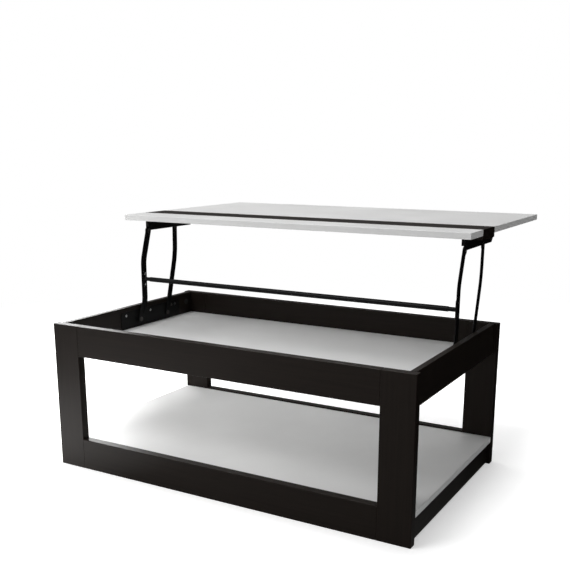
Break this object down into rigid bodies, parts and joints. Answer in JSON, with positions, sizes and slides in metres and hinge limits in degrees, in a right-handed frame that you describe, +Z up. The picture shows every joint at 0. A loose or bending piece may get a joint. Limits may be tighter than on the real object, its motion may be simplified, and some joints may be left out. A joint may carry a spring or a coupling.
{
  "type": "lift-top coffee table",
  "caption": "Rectangular coffee table with a storage compartment, a low shelf and a level-lifting top carried on paired bent arms joined by a cross bar.",
  "frame": {"origin": "on the floor, under the middle of the box that holds the table with its top raised", "axes": "+X to the right along the tabletop length, +Y from the front towards the rear, +Z up"},
  "size_m": [1, 0.89, 0.6395],
  "materials": {
    "black_board": "satin",
    "white_board": "satin",
    "black_steel": "satin",
    "bright_steel": "satin",
    "dowel_wood": "matte",
    "black_plastic": "matte",
    "zinc": "matte"
  },
  "bodies": {
    "base": {"front_left_post": "black_board", "front_right_post": "black_board", "rear_left_post": "black_board", "rear_right_post": "black_board", "front_apron": "black_board", "rear_apron": "black_board", "left_apron": "black_board", "right_apron": "black_board", "front_bottom_rail": "black_board", "rear_bottom_rail": "black_board", "left_bottom_rail": "black_board", "right_bottom_rail": "black_board", "shelf_panel": "white_board", "compartment_floor": "white_board", "frame_dowels": "dowel_wood", "panel_dowels": "dowel_wood", "cam_fittings": "zinc", "cam_caps": "black_plastic", "left_base_plate": "black_steel", "right_base_plate": "black_steel", "base_plate_screws": "bright_steel", "front_pivot_rivets": "bright_steel", "rear_pivot_rivets": "bright_steel", "stop_studs": "bright_steel"},
    "front_arms": {"left_front_arm": "black_steel", "right_front_arm": "black_steel", "cross_bar": "black_steel", "left_bar_bracket": "black_steel", "right_bar_bracket": "black_steel", "bar_rivets": "bright_steel"},
    "left_rear_arm": {"left_rear_arm": "black_steel"},
    "right_rear_arm": {"right_rear_arm": "black_steel"},
    "tabletop": {"front_strip": "white_board", "stripe_beam": "black_board", "main_board": "white_board", "top_dowels": "dowel_wood", "left_top_bracket": "black_steel", "right_top_bracket": "black_steel", "top_bracket_screws": "bright_steel", "top_front_rivets": "bright_steel", "top_rear_rivets": "bright_steel"}
  },
  "joints": [
    {"name": "lift", "type": "hinge", "parent": "base", "child": "front_arms", "pos_m": [0, -0.13496, 0.3425], "axis": [1, 0, 0], "range_deg": [0, 96.83]},
    {"name": "top_levelling", "type": "hinge", "parent": "front_arms", "child": "tabletop", "pos_m": [0, -0.087, 0.59152], "axis": [1, 0, 0], "range_deg": [-96.83, 0]},
    {"name": "left_rear_swing", "type": "hinge", "parent": "base", "child": "left_rear_arm", "pos_m": [-0.47095, -0.00546, 0.3405], "axis": [1, 0, 0], "range_deg": [0, 96.83]},
    {"name": "right_rear_swing", "type": "hinge", "parent": "base", "child": "right_rear_arm", "pos_m": [0.47095, -0.00546, 0.3405], "axis": [1, 0, 0], "range_deg": [0, 96.83]}
  ],
  "couplings": [
    {"joint": "top_levelling", "follows": "lift", "ratio": -1},
    {"joint": "left_rear_swing", "follows": "lift", "ratio": 1},
    {"joint": "right_rear_swing", "follows": "lift", "ratio": 1}
  ]
}
